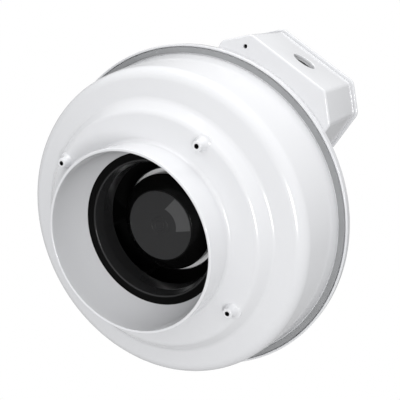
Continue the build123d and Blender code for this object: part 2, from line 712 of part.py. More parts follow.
# --- Write every node ---------------------------------------------------------------------------
save("inlet_spigot", inlet_spigot())
save("front_shell", front_shell())
save("rear_shell", rear_shell())
save("outlet_spigot", outlet_spigot())
save("casing_rim", casing_rim())
save("joint_strip", joint_strip())
save("casing_seal", ring(SEAL_R[0], SEAL_R[1], FLANGE_T, FLANGE_T + SEAL_T))
save("casing_screws", casing_screws())
save("inlet_cone", inlet_cone())
save("inlet_cone_screws", inlet_cone_screws())
save("hub_cap", hub_cap())
save("rotor_can", rotor_can())
save("rotor_core", rotor_core())
save("rotor_cage", rotor_cage())
save("motor_shaft", motor_shaft())
save("retaining_ring", retaining_ring())
save("impeller_wheel", impeller_wheel())
save("impeller_shroud", impeller_shroud())
save("impeller_rivets", impeller_rivets())
for side, bearing_y in (("front", FRONT_BEARING_Y), ("rear", REAR_BEARING_Y)):
    save(f"{side}_bearing_inner_ring", bearing_inner(bearing_y))
    save(f"{side}_bearing_outer_ring", bearing_outer(bearing_y))
    save(f"{side}_bearing_balls", bearing_balls(bearing_y))
    save(f"{side}_bearing_cage", bearing_cage(bearing_y))
save("preload_washer", preload_washer())
save("motor_bush", motor_bush())
save("stator_core", stator_core())
save("stator_windings", stator_windings())
save("guide_vane_carrier", guide_vane_carrier())
save("guide_vanes", guide_vanes())
save("vane_hoop", vane_hoop())
save("carrier_screws", carrier_screws())
save("motor_screws", motor_screws())
save("hub_rear_cover", hub_rear_cover())
save("terminal_box", terminal_box())
save("terminal_lid", terminal_lid())
save("lid_gasket", lid_gasket())
save("lid_screws", lid_screws())
save("box_screws", box_screws())
save("cable_seal", cable_seal())
save("terminal_block", terminal_block())
save("terminal_screws", terminal_screws())
save("capacitor", capacitor())
save("capacitor_clip", capacitor_clip())
save("motor_lead", motor_lead())
save("lead_grommet", lead_grommet())
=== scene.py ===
import json
import math

import bpy
import bmesh
from mathutils import Matrix, Vector


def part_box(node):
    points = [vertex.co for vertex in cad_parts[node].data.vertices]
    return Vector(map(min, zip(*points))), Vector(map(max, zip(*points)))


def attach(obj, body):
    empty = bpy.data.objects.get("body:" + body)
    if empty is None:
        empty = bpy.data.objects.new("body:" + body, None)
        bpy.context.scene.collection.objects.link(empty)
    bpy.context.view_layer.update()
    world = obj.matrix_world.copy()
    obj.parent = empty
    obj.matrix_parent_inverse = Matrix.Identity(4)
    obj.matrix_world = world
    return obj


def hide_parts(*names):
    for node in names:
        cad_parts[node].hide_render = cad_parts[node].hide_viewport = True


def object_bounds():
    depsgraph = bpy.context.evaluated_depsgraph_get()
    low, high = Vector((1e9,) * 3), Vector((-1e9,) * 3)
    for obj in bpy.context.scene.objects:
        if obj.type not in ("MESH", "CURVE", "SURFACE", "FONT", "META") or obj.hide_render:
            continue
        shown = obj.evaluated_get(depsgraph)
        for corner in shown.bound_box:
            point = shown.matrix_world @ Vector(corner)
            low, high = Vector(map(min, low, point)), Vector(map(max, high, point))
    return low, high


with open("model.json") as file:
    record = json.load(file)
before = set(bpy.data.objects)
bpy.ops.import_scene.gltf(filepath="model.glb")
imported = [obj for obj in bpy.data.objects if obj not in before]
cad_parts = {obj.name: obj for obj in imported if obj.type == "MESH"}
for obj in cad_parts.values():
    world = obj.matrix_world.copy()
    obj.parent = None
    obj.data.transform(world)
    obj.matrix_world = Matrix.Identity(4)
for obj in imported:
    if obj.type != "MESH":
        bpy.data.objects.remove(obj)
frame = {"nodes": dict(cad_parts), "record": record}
cad_box = [list(corner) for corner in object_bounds()]

# --- Sizes, in millimetres --------------------------------------------------------------------
# Along the fan axis, y is 0 in the plane of the casing's flange, and the inlet's mouth is at -97.
# In the names, R is a radius, T a thickness, and PCR the radius of a circle of screws or bosses.
MM = 0.001
SEGMENTS = 256              # facets round a large turned piece
SHARP_ANGLE = 32.0          # degrees: a sharper edge isn't smoothed
INLET_Y = -97.0
OUTLET_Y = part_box("outlet_spigot")[1].y / MM + INLET_Y
SPIGOT_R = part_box("outlet_spigot")[1].x / MM

# Casing
WALL = 2.4
FRONT_BASE_R = 138.1        # the shells' sides where they meet their flanges
REAR_BASE_R = 127.66
FLANGE_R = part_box("front_shell")[1].x / MM
FLANGE_T = 3.0
RIM_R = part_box("casing_rim")[1].x / MM
RIM_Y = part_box("casing_rim")[0].y / MM + INLET_Y
RIM_GAP = 0.8               # seam between the flange and the rim
REAR_FLANGE_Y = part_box("casing_rim")[1].y / MM + INLET_Y
STRIP_R = (138.9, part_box("joint_strip")[1].x / MM)
STRIP_T = 1.0
BELL_ROOT_Y = -75.0         # where the bell leaves the spigot's bore
BELL_FILLET = 80.0
BOSS_PCR = 92.3
BOSS_ANGLES = [0, 90, 180, 270]
BOSS_TIP_Y = -75.0
BOSS_HOLE_R = 1.9
BOSS_HOLE_END_Y = -67.0
# Thickness of the black sleeves that paint shade into the bosses' screw holes.
SHADE_SLEEVE_T = 0.3
CASING_SCREW_PCR = 132.6
CASING_SCREW_ANGLES = [36 + 48 * k for k in range(7)]       # clear of the terminal box at the top
CASING_TOWER_R = 3.3
CASING_TOWER_Y = (-10.0, 2.9)
CONE_SCREW_PCR = 83.0
CONE_SCREW_ANGLES = [45 + 90 * k for k in range(4)]
CONE_SEAT_R = 4.0
CONE_SEAT_REAR_Y = -65.0
HOOP_SCREW_PCR = 115.0      # screws of the guide vanes' hoop
HOOP_SCREW_ANGLES = [30 + 60 * k for k in range(6)]
HOOP_TOWER_R = 4.2
HOOP_TOWER_Y = (27.5, 62.5)
FRONT_PATH = [
    (SPIGOT_R, INLET_Y, 0.9),
    (SPIGOT_R, -68.2, 3.5),
    (98.0, -66.6, 7.0),
    (106.5, -57.0, 7.0),
    (130.0, -53.2, 12.0),
    (FRONT_BASE_R, 0.0, 0.5),
    (FLANGE_R, 0.0, 0.4),
]
REAR_PATH = [
    (SPIGOT_R, OUTLET_Y, 0.9),
    (SPIGOT_R, 83.0, 3.5),
    (96.0, 81.0, 7.0),
    (104.0, 70.0, 7.0),
    (122.0, 65.0, 12.0),
    (REAR_BASE_R, REAR_FLANGE_Y, 1.0),
]

# Terminal box
BOX_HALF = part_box("terminal_box")[1].x / MM
BOX_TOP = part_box("terminal_box")[1].z / MM
BOX_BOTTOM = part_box("terminal_box")[0].z / MM
BOX_REAR_Y = 74.0           # the lid's gasket lies behind it
BOX_CHAMFER = 19.0
BOX_CORNER = 6.0
BOX_WALL = 2.5
SADDLE_GAP = 0.15           # between the box and the casing
ENTRY = (2.5, 40.0)         # cable entry, x and y
ENTRY_R = 10.25
ENTRY_CHAMFER = 0.9
COLLAR_R = 12.5
COLLAR_Z = (156.0, 158.0)
TEST_HOLE = (-36.8, 149.2)  # x and z
TEST_HOLE_R = 1.8
BOX_SCREWS = [(x, y) for x in (-26.0, 26.0) for y in (20.0, 46.0)]
BOX_POST_R = 3.5
BOX_POST_Z = (113.5, 118.5)
LID_SCREWS = [(-51.0, 115.0), (51.0, 115.0), (-36.0, 153.5), (36.0, 153.5)]
LID_PILLAR_R = (1.4, 4.0)
LID_PILLAR_FRONT_Y = 60.0
LID_SEAT_R = 3.0
LID_SEAT_DEPTH = 1.2
LID_FRONT_Y, LID_REAR_Y = [corner.y / MM + INLET_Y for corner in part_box("terminal_lid")]
LID_OVERHANG = 2.4

# Inlet ring
LIP_R = 64.7                # inner edge of the white bell
LIP_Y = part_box("inlet_cone")[0].y / MM + INLET_Y
CONE_FLANGE_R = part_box("inlet_cone")[1].x / MM
CONE_MOUTH_R = 57.4
CONE_T = 2.0
THROAT_R = 54.5
THROAT_Y = -37.0

# Rotor
CAP_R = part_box("hub_cap")[1].x / MM
CAP_T = 2.0
CAP_SHOULDER_Y = -35.5
FACE_R = 29.7               # disc on the cap
FACE_Y = -46.15
FACE_STEP = 0.45            # from the disc's face back to the cap's own
FACE_RINGS = [(7.1, 0.2), (3.8, 0.25)]      # inner radius and depth of the grooves round the centre
# Painted highlight: a thin paler sector on the hub's disc stands in for light reflected from its face.
HIGHLIGHT_T = 0.05
HIGHLIGHT_TURN = -19.0          # degrees round the cap
HIGHLIGHT_OUTER = (29.0, 16.0, 60.0)            # radius, then start and sweep in degrees
HIGHLIGHT_INNER = (15.8, 4.5, 82.0)
CAN_R = 46.5
CAN_WALL = 2.0
CAN_FRONT_Y, CAN_REAR_Y = [corner.y / MM + INLET_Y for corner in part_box("rotor_can")]
CAN_STEP_R = 39.5
CAN_STEP_Y = -25.5
CAN_FLANGE_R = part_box("rotor_can")[1].x / MM
CAN_FLANGE_Y = (6.0, 8.0)
CAN_BOSS_R = 9.0
CAN_BOSS_REAR_Y = -24.0
SHAFT_R = 4.0


# --- Mesh helpers -----------------------------------------------------------------------------
def rounded(corners, step):
    """Points along a closed outline of (a, b, radius) corners, with each radius as an arc in steps of that
    many degrees."""
    points = []
    count = len(corners)
    for i, corner in enumerate(corners):
        here = Vector(corner[:2])
        radius = corner[2] if len(corner) > 2 else 0.0
        if radius <= 0.0:
            points.append(here)
            continue
        a = (Vector(corners[i - 1][:2]) - here).normalized()
        b = (Vector(corners[(i + 1) % count][:2]) - here).normalized()
        half = a.angle(b) / 2
        start = here + a * (radius / math.tan(half))
        centre = here + (a + b).normalized() * (radius / math.sin(half))
        sweep = math.pi - 2 * half
        steps = max(2, math.ceil(math.degrees(sweep) / step - 0.01))
        arm = start - centre
        side = a.x * b.y - a.y * b.x
        turn = sweep if side < 0 else -sweep
        for k in range(steps + 1):
            t = turn * k / steps
            c, s = math.cos(t), math.sin(t)
            points.append(centre + Vector((arm.x * c - arm.y * s, arm.x * s + arm.y * c)))
    return points


def moved_path(path, distance):
    """An open path of corners moved sideways: a positive distance moves it to its left."""
    lines = []
    for first, second in zip(path, path[1:]):
        a, b = Vector(first[:2]), Vector(second[:2])
        along = (b - a).normalized()
        side = Vector((-along.y, along.x)) * distance
        lines.append((a + side, b + side))
    result = [tuple(lines[0][0])]
    for i in range(1, len(lines)):
        (a, b), (c, d) = lines[i - 1], lines[i]
        u, v = b - a, d - c
        cross = u.x * v.y - u.y * v.x
        t = ((c.x - a.x) * v.y - (c.y - a.y) * v.x) / cross
        radius = path[i][2] if len(path[i]) > 2 else 0.0
        if radius > 0:
            radius = max(0.0, radius - math.copysign(distance, cross * distance))
        where = a + u * t
        result.append((where.x, where.y, radius))
    result.append(tuple(lines[-1][1]))
    return result


def finished(bm, name):
    """A new object from a bmesh: normals outwards, smooth but for its sharp edges."""
    bmesh.ops.remove_doubles(bm, verts=bm.verts, dist=1e-7)
    bmesh.ops.recalc_face_normals(bm, faces=bm.faces)
    mesh = bpy.data.meshes.new(name)
    bm.to_mesh(mesh)
    bm.free()
    return from_mesh(mesh, name)


def from_mesh(mesh, name):
    """A new object from a mesh, smooth but for its sharp edges."""
    for polygon in mesh.polygons:
        polygon.use_smooth = True
    mesh.set_sharp_from_angle(angle=math.radians(SHARP_ANGLE))
    piece = bpy.data.objects.new(name, mesh)
    bpy.context.scene.collection.objects.link(piece)
    return piece


def turned(name, corners, segments=SEGMENTS, step=4.0, centre=(0.0, 0.0), upright=False):
    """A closed outline of (radius, along, fillet) corners turned about the fan axis or one parallel to it
    through (x, z), or, if upright, about one parallel to Z through (x, y). In millimetres."""
    outline = rounded(corners, step=step)
    bm = bmesh.new()
    rings = []
    for k in range(segments):
        turn = 2 * math.pi * k / segments
        first, second = math.sin(turn), math.cos(turn)
        ring = []
        for p in outline:
            u, v = centre[0] + p.x * first, centre[1] + p.x * second
            point = (u, v - INLET_Y, p.y) if upright else (u, p.y - INLET_Y, v)
            ring.append(bm.verts.new([value * MM for value in point]))
        rings.append(ring)
    for k in range(segments):
        here, following = rings[k], rings[(k + 1) % segments]
        for i in range(len(outline)):
            j = (i + 1) % len(outline)
            if max(outline[i].x, outline[j].x) > 1e-6:
                bm.faces.new((here[i], here[j], following[j], following[i]))
    bmesh.ops.remove_doubles(bm, verts=bm.verts, dist=1e-7)
    bmesh.ops.dissolve_degenerate(bm, edges=bm.edges, dist=1e-8)
    return finished(bm, name)


def peg(radius, start, end, fillet=0.0):
    """Outline of a plain round peg, for turned, with a fillet round its starting end."""
    return [(0.0, start), (radius, start, fillet), (radius, end), (0.0, end)]


def lofted(name, sections):
    """A closed solid through sections of equal point counts, with flat ends. Points are in millimetres."""
    bm = bmesh.new()
    loops = [[bm.verts.new((x * MM, (y - INLET_Y) * MM, z * MM)) for x, y, z in section]
             for section in sections]
    for low, high in zip(loops, loops[1:]):
        for i in range(len(low)):
            j = (i + 1) % len(low)
            bm.faces.new((low[i], low[j], high[j], high[i]))
    bm.faces.new(loops[0][::-1])
    bm.faces.new(loops[-1])
    return finished(bm, name)


def cut(target, tool):
    """target with tool cut from it. Both objects are used up."""
    modifier = target.modifiers.new("boolean", "BOOLEAN")
    modifier.object = tool
    modifier.operation = "DIFFERENCE"
    modifier.solver = "EXACT"
    graph = bpy.context.evaluated_depsgraph_get()
    mesh = bpy.data.meshes.new_from_object(target.evaluated_get(graph))
    name = target.name
    for used in (target, tool):
        bpy.data.objects.remove(used)
    return from_mesh(mesh, name)


def joined(name, pieces):
    """Several objects' meshes in one object."""
    bm = bmesh.new()
    for piece in pieces:
        bm.from_mesh(piece.data)
        bpy.data.objects.remove(piece)
    mesh = bpy.data.meshes.new(name)
    bm.to_mesh(mesh)
    bm.free()
    return from_mesh(mesh, name)


def polar(radius, angle):
    """x and z at an angle from the top, towards +X."""
    return radius * math.sin(math.radians(angle)), radius * math.cos(math.radians(angle))


def box_section(margin, y):
    """The terminal box's cross-section, moved outwards by a margin, at one y."""
    half, top, bottom = BOX_HALF + margin, BOX_TOP + margin, BOX_BOTTOM - margin
    chamfer = BOX_CHAMFER + margin * (2 - math.sqrt(2))
    corner = BOX_CORNER + margin
    shape = rounded([(-half, bottom, 2.0), (half, bottom, 2.0),
                     (half, top - chamfer, corner), (half - chamfer, top, corner),
                     (-half + chamfer, top, corner), (-half, top - chamfer, corner)], step=5.0)
    return [(p.x, y, p.y) for p in shape]


def box_prism(name, margin, y0, y1, front=0.0, rear=0.0):
    """A length of the terminal box's section, with its front and rear edges rounded."""
    steps = [math.radians(15 * k) for k in range(7)]
    sections = [box_section(margin - front * (1 - math.sin(t)), y0 + front * (1 - math.cos(t)))
                for t in (steps if front else [math.pi / 2])]
    sections += [box_section(margin - rear * (1 - math.cos(t)), y1 - rear * (1 - math.sin(t)))
                 for t in (steps if rear else [math.pi / 2])]
    return lofted(name, sections)


# --- Materials --------------------------------------------------------------------------------
def material(name, colour, roughness, metallic=0.0, coat=0.0, coat_roughness=0.1, specular=0.5):
    """A new Principled material, its node tree and its shader."""
    made = bpy.data.materials.new(name)
    made.use_nodes = True
    tree = made.node_tree
    shader = tree.nodes["Principled BSDF"]
    shader.inputs["Base Color"].default_value = (*colour, 1.0)
    shader.inputs["Roughness"].default_value = roughness
    shader.inputs["Metallic"].default_value = metallic
    shader.inputs["Specular IOR Level"].default_value = specular
    shader.inputs["Coat Weight"].default_value = coat
    shader.inputs["Coat Roughness"].default_value = coat_roughness
    return made, tree, shader


def place(tree, scale=(1.0, 1.0, 1.0)):
    """Object coordinates, in metres, stretched by a scale."""
    where = tree.nodes.new("ShaderNodeTexCoord")
    mapping = tree.nodes.new("ShaderNodeMapping")
    mapping.inputs["Scale"].default_value = scale
    tree.links.new(where.outputs["Object"], mapping.inputs["Vector"])
    return mapping.outputs["Vector"]


def noise(tree, vector, scale, detail=3.0, rough=0.5):
    """Fractal noise, with its scale in cycles a metre."""
    node = tree.nodes.new("ShaderNodeTexNoise")
    node.inputs["Scale"].default_value = scale
    node.inputs["Detail"].default_value = detail
    node.inputs["Roughness"].default_value = rough
    tree.links.new(vector, node.inputs["Vector"])
    return node.outputs["Fac"]


def ranged(tree, value, low, high):
    """A value from 0 to 1 carried to the range from low to high."""
    node = tree.nodes.new("ShaderNodeMapRange")
    node.inputs["To Min"].default_value = low
    node.inputs["To Max"].default_value = high
    tree.links.new(value, node.inputs["Value"])
    return node.outputs["Result"]


def blended(tree, factor, first, second):
    """Two colours mixed by a factor."""
    node = tree.nodes.new("ShaderNodeMix")
    node.data_type = "RGBA"
    node.inputs[6].default_value = (*first, 1.0)
    node.inputs[7].default_value = (*second, 1.0)
    tree.links.new(factor, node.inputs[0])
    return node.outputs[2]


def bumped(tree, shader, height, distance, strength, chain=None):
    """Bump from a height, on top of an earlier bump if one is given."""
    node = tree.nodes.new("ShaderNodeBump")
    node.inputs["Distance"].default_value = distance
    node.inputs["Strength"].default_value = strength
    tree.links.new(height, node.inputs["Height"])
    if chain:
        tree.links.new(chain, node.inputs["Normal"])
    tree.links.new(node.outputs["Normal"], shader.inputs["Normal"])
    return node.outputs["Normal"]


def gloss_plastic(name, colour, shade, roughness, coat=0.35, specular=0.5):
    """Moulded gloss plastic: a faint ripple from the mould, fine texture and slight colour drift."""
    made, tree, shader = material(name, colour, roughness, coat=coat, coat_roughness=0.06, specular=specular)
    where = place(tree)
    drift = noise(tree, where, 9.0, 2.0)
    tree.links.new(blended(tree, drift, colour, shade), shader.inputs["Base Color"])
    tree.links.new(ranged(tree, noise(tree, where, 55.0, 4.0), roughness * 0.8, roughness * 1.25),
                   shader.inputs["Roughness"])
    wave = bumped(tree, shader, noise(tree, where, 22.0, 1.0), 0.00024, 0.25)
    bumped(tree, shader, noise(tree, where, 900.0, 2.0), 0.000016, 0.25, wave)
    return made


def satin_plastic(name, colour, shade, roughness, specular=0.5):
    """Moulded satin plastic with a fine spark-eroded grain."""
    made, tree, shader = material(name, colour, roughness, specular=specular)
    where = place(tree)
    tree.links.new(blended(tree, noise(tree, where, 14.0, 3.0), colour, shade), shader.inputs["Base Color"])
    tree.links.new(ranged(tree, noise(tree, where, 120.0, 3.0), roughness * 0.85, roughness * 1.15),
                   shader.inputs["Roughness"])
    bumped(tree, shader, noise(tree, where, 1500.0, 3.0), 0.00005, 0.6)
    return made


def metal(name, colour, shade, roughness, grain=(1.0, 1.0, 1.0), grain_scale=400.0, depth=0.00003):
    """Metal with a grain: stretched along an axis for brushed or ground faces, even for castings."""
    made, tree, shader = material(name, colour, roughness, metallic=1.0)
    where = place(tree, grain)
    drift = noise(tree, place(tree), 30.0, 4.0)
    tree.links.new(blended(tree, drift, colour, shade), shader.inputs["Base Color"])
    lines = noise(tree, where, grain_scale, 4.0, 0.6)
    tree.links.new(ranged(tree, lines, roughness * 0.75, roughness * 1.3), shader.inputs["Roughness"])
    bumped(tree, shader, lines, depth, 0.5)
    return made


def striped_metal(name, colour, shade, pitch):
    """Metal in two tones that alternate along the fan axis, with a pitch in metres."""
    made, tree, shader = material(name, colour, 0.45, metallic=0.9)
    wave = tree.nodes.new("ShaderNodeTexWave")
    wave.bands_direction = "Y"
    wave.inputs["Scale"].default_value = 0.31416 / pitch        # at scale 1 the bands are 0.31416 apart
    wave.inputs["Distortion"].default_value = 0.4
    tree.links.new(place(tree), wave.inputs["Vector"])
    tree.links.new(blended(tree, wave.outputs["Fac"], colour, shade), shader.inputs["Base Color"])
    bumped(tree, shader, wave.outputs["Fac"], 0.0001, 0.6)
    return made


def rubber(name, colour, shade):
    """Soft rubber: matt, with a fine grain."""
    made, tree, shader = material(name, colour, 0.62, specular=0.35)
    where = place(tree)
    tree.links.new(blended(tree, noise(tree, where, 60.0, 4.0), colour, shade), shader.inputs["Base Color"])
    tree.links.new(ranged(tree, noise(tree, where, 300.0, 3.0), 0.52, 0.74), shader.inputs["Roughness"])
    bumped(tree, shader, noise(tree, where, 1100.0, 3.0), 0.00006, 0.5)
    return made


def turned_metal(name, colour, shade, roughness, anisotropy):
    """Lathe-turned plated metal: fine rings about the fan axis, so a light shows as two opposite streaks."""
    made, tree, shader = material(name, colour, roughness, metallic=1.0)
    shader.inputs["Anisotropic"].default_value = anisotropy
    tangent = tree.nodes.new("ShaderNodeTangent")
    tangent.direction_type = "RADIAL"
    tangent.axis = "Y"
    tree.links.new(tangent.outputs["Tangent"], shader.inputs["Tangent"])
    where = place(tree)
    tree.links.new(blended(tree, noise(tree, where, 40.0, 3.0), colour, shade), shader.inputs["Base Color"])
    tree.links.new(ranged(tree, noise(tree, where, 200.0, 3.0), roughness * 0.85, roughness * 1.15),
                   shader.inputs["Roughness"])
    bumped(tree, shader, noise(tree, where, 700.0, 2.0), 0.00002, 0.3)
    return made


finish = {
    "casing_white": gloss_plastic("white_gloss_plastic", (0.79, 0.792, 0.805), (0.76, 0.765, 0.78), 0.17),
    "black_gloss": gloss_plastic("black_gloss_plastic", (0.002, 0.002, 0.002), (0.004, 0.004, 0.004), 0.16,
                                 coat=0.0, specular=0.13),
    # Painted light and shade: the inlet ring's one black plastic in two tones, darker on the flat flange and
    # lighter on the bell.
    "black_flange": satin_plastic("black_flange_plastic_shaded", (0.002, 0.002, 0.002), (0.004, 0.004, 0.004),
                                  0.35, 0.04),
    "black_bell": gloss_plastic("black_bell_plastic_lit", (0.016, 0.016, 0.016), (0.020, 0.020, 0.021), 0.16,
                                coat=0.0, specular=0.35),
    "black_plastic": satin_plastic("black_satin_plastic", (0.004, 0.004, 0.004), (0.007, 0.007, 0.007),
                                   0.45, 0.15),
    "black_hub": satin_plastic("black_hub_plastic", (0.022, 0.022, 0.022), (0.026, 0.026, 0.027), 0.40, 0.25),
    # Painted highlight: the paler grey of the sector on the hub's disc.
    "hub_painted_highlight": satin_plastic("painted_highlight_grey", (0.072, 0.072, 0.073), (0.080, 0.080, 0.081), 0.40, 0.30),
    "rotor_metal": turned_metal("turned_plated_rotor", (0.86, 0.86, 0.85), (0.80, 0.80, 0.80), 0.30, 0.85),
    "die_cast": metal("die_cast_aluminium", (0.62, 0.63, 0.65), (0.52, 0.53, 0.55), 0.48,
                      (1, 1, 1), 700.0, 8e-5),
    "laminations": striped_metal("stacked_laminations", (0.30, 0.31, 0.33), (0.16, 0.16, 0.17), 0.5),
    "copper": striped_metal("enamelled_copper", (0.62, 0.26, 0.11), (0.42, 0.15, 0.06), 0.6),
    "bright_steel": metal("ground_steel", (0.70, 0.71, 0.73), (0.60, 0.61, 0.63), 0.24, (1, 40, 1), 80.0),
    "zinc_steel": metal("zinc_plated_steel", (0.68, 0.69, 0.71), (0.55, 0.57, 0.60), 0.30, (1, 1, 1), 500.0),
    "bearing_steel": metal("bearing_steel", (0.78, 0.78, 0.80), (0.70, 0.70, 0.72), 0.14,
                           (1, 20, 1), 90.0, 1e-5),
    "cage_brass": metal("pressed_brass", (0.75, 0.56, 0.26), (0.62, 0.45, 0.20), 0.32),
    "block_plastic": satin_plastic("natural_nylon", (0.72, 0.70, 0.63), (0.66, 0.64, 0.57), 0.40),
    "terminal_brass": metal("plated_brass", (0.78, 0.62, 0.32), (0.66, 0.50, 0.24), 0.28),
    "capacitor_case": satin_plastic("capacitor_case", (0.42, 0.44, 0.47), (0.36, 0.38, 0.41), 0.38),
    "lead_sheath": rubber("lead_sheath", (0.06, 0.06, 0.065), (0.09, 0.09, 0.095)),
    "seal_rubber": rubber("seal_rubber", (0.014, 0.014, 0.014), (0.028, 0.028, 0.028)),
    "strip_grey": rubber("grey_sealing_strip", (0.285, 0.29, 0.295), (0.345, 0.35, 0.355)),
}


def stands_for(piece, look, *nodes, slot=None):
    """A detailed piece takes the place of frame nodes, on the same body, in the look's material.
    The slot argument is not used."""
    bodies = frame["record"]["behaviour"]["bodies"]
    body = next(name for name, members in bodies.items() if nodes[0] in members)
    slot = slot or next(part["material_slot"] for part in frame["record"]["subparts"]
                        if part["node"] == nodes[0])
    piece.data.materials.clear()
    piece.data.materials.append(finish[look])
    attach(piece, body)
    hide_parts(*nodes)


# Every CAD node gets its slot's material. The pieces below then take the place of some of them.
for part in frame["record"]["subparts"]:
    node = frame["nodes"][part["node"]]
    node.data.materials.clear()
    node.data.materials.append(finish[part["material_slot"]])


# --- Casing -----------------------------------------------------------------------------------
def front_casing():
    """Front shell with its spigot, bell, bosses, screw towers and the inlet ring's seats."""
    inner = moved_path(FRONT_PATH, WALL)
    bell = [(SPIGOT_R - WALL, BELL_ROOT_Y + 1.0), (LIP_R + 1.6, LIP_Y, 0.3), (LIP_R, LIP_Y, 0.5),
            (SPIGOT_R - WALL, BELL_ROOT_Y, BELL_FILLET), (SPIGOT_R - WALL, INLET_Y, 0.9)]
    back = [(FLANGE_R, FLANGE_T, 0.4), (FRONT_BASE_R - WALL - 0.4, FLANGE_T)]
    wall = turned("wall", FRONT_PATH + back + inner[4:0:-1] + bell)
    hole, end, tip = BOSS_HOLE_R, BOSS_HOLE_END_Y, BOSS_TIP_Y
    boss = [(0, end), (hole, end), (hole, tip, 0.35), (3.9, tip, 0.8), (4.3, -71.0, 6.0),
            (5.6, -67.0, 3.0), (8.0, -66.0), (8.0, -64.4), (0, -64.4)]
    bosses = [turned("boss", boss, 64, centre=polar(BOSS_PCR, a)) for a in BOSS_ANGLES]
    tower = peg(CASING_TOWER_R, *CASING_TOWER_Y, fillet=0.5)
    towers = [turned("tower", tower, 32, centre=polar(CASING_SCREW_PCR, a)) for a in CASING_SCREW_ANGLES]
    seat = peg(CONE_SEAT_R, LIP_Y, CONE_SEAT_REAR_Y, fillet=0.3)
    seats = [turned("seat", seat, 32, centre=polar(CONE_SCREW_PCR, a)) for a in CONE_SCREW_ANGLES]
    piece = joined("front_casing", [wall] + bosses + towers + seats)
    stands_for(piece, "casing_white", "front_shell", "inlet_spigot")
    # Painted shade: a thin black sleeve in each boss's screw hole stands in for the shade deep inside the
    # hole; the shell itself is white plastic there.
    bore, floor, mouth = hole - SHADE_SLEEVE_T, end - 0.4, tip + 0.3
    shade_sleeve = [(0, floor), (bore, floor), (bore, mouth), (hole, mouth), (hole, end), (0, end)]
    shade_sleeves = [turned("shade_sleeve", shade_sleeve, 32, centre=polar(BOSS_PCR, a)) for a in BOSS_ANGLES]
    stands_for(joined("boss_hole_painted_shade", shade_sleeves), "black_plastic", "front_shell", slot="black_plastic")


def rear_casing():
    """Rear shell with its spigot, flange, rim and screw posts."""
    rim = [(RIM_R, REAR_FLANGE_Y, 0.9), (RIM_R, RIM_Y, 0.7), (FLANGE_R + RIM_GAP, RIM_Y, 0.7),
           (FLANGE_R + RIM_GAP, FLANGE_T), (REAR_BASE_R - WALL, FLANGE_T)]
    inner = moved_path(REAR_PATH, -WALL)
    inner[0] = (inner[0][0], OUTLET_Y, 0.9)
    wall = turned("wall", REAR_PATH + rim + inner[::-1])
    tower = peg(HOOP_TOWER_R, *HOOP_TOWER_Y, fillet=0.5)
    towers = [turned("tower", tower, 32, centre=polar(HOOP_SCREW_PCR, a)) for a in HOOP_SCREW_ANGLES]
    post = peg(BOX_POST_R, *BOX_POST_Z, fillet=0.5)
    posts = [turned("post", post, 32, centre=spot, upright=True) for spot in BOX_SCREWS]
    piece = joined("rear_casing", [wall] + towers + posts)
    stands_for(piece, "casing_white", "rear_shell", "outlet_spigot", "casing_rim")


def joint_strip():
    """Soft grey strip on the front of the flange."""
    inner, outer = STRIP_R
    strip = [(inner, 0.0), (inner, -STRIP_T, 0.35), (outer, -STRIP_T, 0.35), (outer, 0.0)]
    stands_for(turned("sealing_strip", strip), "strip_grey", "joint_strip")


# --- Terminal box -----------------------------------------------------------------------------
def terminal_box():
    """Box open at its rear, cut to the casing below it, with its entry, test hole and screw pillars."""
    box = box_prism("box", 0.0, REAR_FLANGE_Y, BOX_REAR_Y, front=1.8)
    cavity = box_prism("cavity", -BOX_WALL, REAR_FLANGE_Y + BOX_WALL, BOX_REAR_Y + 5)
    box = cut(box, cavity)
    saddle = [(0, OUTLET_Y)] + moved_path(REAR_PATH, SADDLE_GAP) + [(REAR_BASE_R + SADDLE_GAP, 0.0), (0, 0)]
    box = cut(box, turned("saddle", saddle, 192))
    low, high = BOX_TOP - ENTRY_CHAMFER / 2, BOX_TOP + ENTRY_CHAMFER / 2
    entry = [(0, BOX_TOP - 10.0), (ENTRY_R, BOX_TOP - 10.0), (ENTRY_R, low), (ENTRY_R + ENTRY_CHAMFER, high),
             (0, high)]
    box = cut(box, turned("entry", entry, 96, centre=ENTRY, upright=True))
    box = cut(box, turned("hole", peg(TEST_HOLE_R, 0.0, 12.0), 48, centre=TEST_HOLE))
    low, high = COLLAR_Z
    collar = [(ENTRY_R, low), (COLLAR_R, low), (COLLAR_R, high), (ENTRY_R, high)]
    extras = [turned("collar", collar, 96, centre=ENTRY, upright=True)]
    bore, outside = LID_PILLAR_R
    pillar = [(bore, LID_PILLAR_FRONT_Y), (outside, LID_PILLAR_FRONT_Y), (outside, LID_FRONT_Y),
              (bore, LID_FRONT_Y)]
    extras += [turned("pillar", pillar, 32, centre=spot) for spot in LID_SCREWS]
    stands_for(joined("box_body", [box] + extras), "casing_white", "terminal_box")


def terminal_lid():
    """Rear cover with rounded edges and sunk screw seats."""
    lid = box_prism("lid", LID_OVERHANG, LID_FRONT_Y, LID_REAR_Y, front=0.9, rear=1.3)
    seat = peg(LID_SEAT_R, LID_REAR_Y - LID_SEAT_DEPTH, LID_REAR_Y + 1.0)
    for spot in LID_SCREWS:
        lid = cut(lid, turned("seat", seat, 48, centre=spot))
    stands_for(lid, "casing_white", "terminal_lid")


# --- Inlet ring and rotor ---------------------------------------------------------------------
def inlet_ring():
    """Black ring behind the white bell: a matt flat flange in a darker black as painted shade, and a glossy
    mouth in a lighter black as painted light, narrowing to the throat.
    """
    edge = CONE_MOUTH_R + 1.1
    flat = [(CONE_FLANGE_R, LIP_Y), (edge, LIP_Y), (edge, LIP_Y + CONE_T), (CONE_FLANGE_R, LIP_Y + CONE_T)]
    stands_for(turned("inlet_flange", flat), "black_flange", "inlet_cone")
    path = [(edge + 0.1, LIP_Y - 0.05), (CONE_MOUTH_R, LIP_Y - 0.05, 1.2), (THROAT_R + 0.6, -50.0, 12.0),
            (THROAT_R, THROAT_Y)]
    bell = turned("inlet_bell", path + moved_path(path, -CONE_T)[::-1], step=3.0)
    stands_for(bell, "black_bell", "inlet_cone")


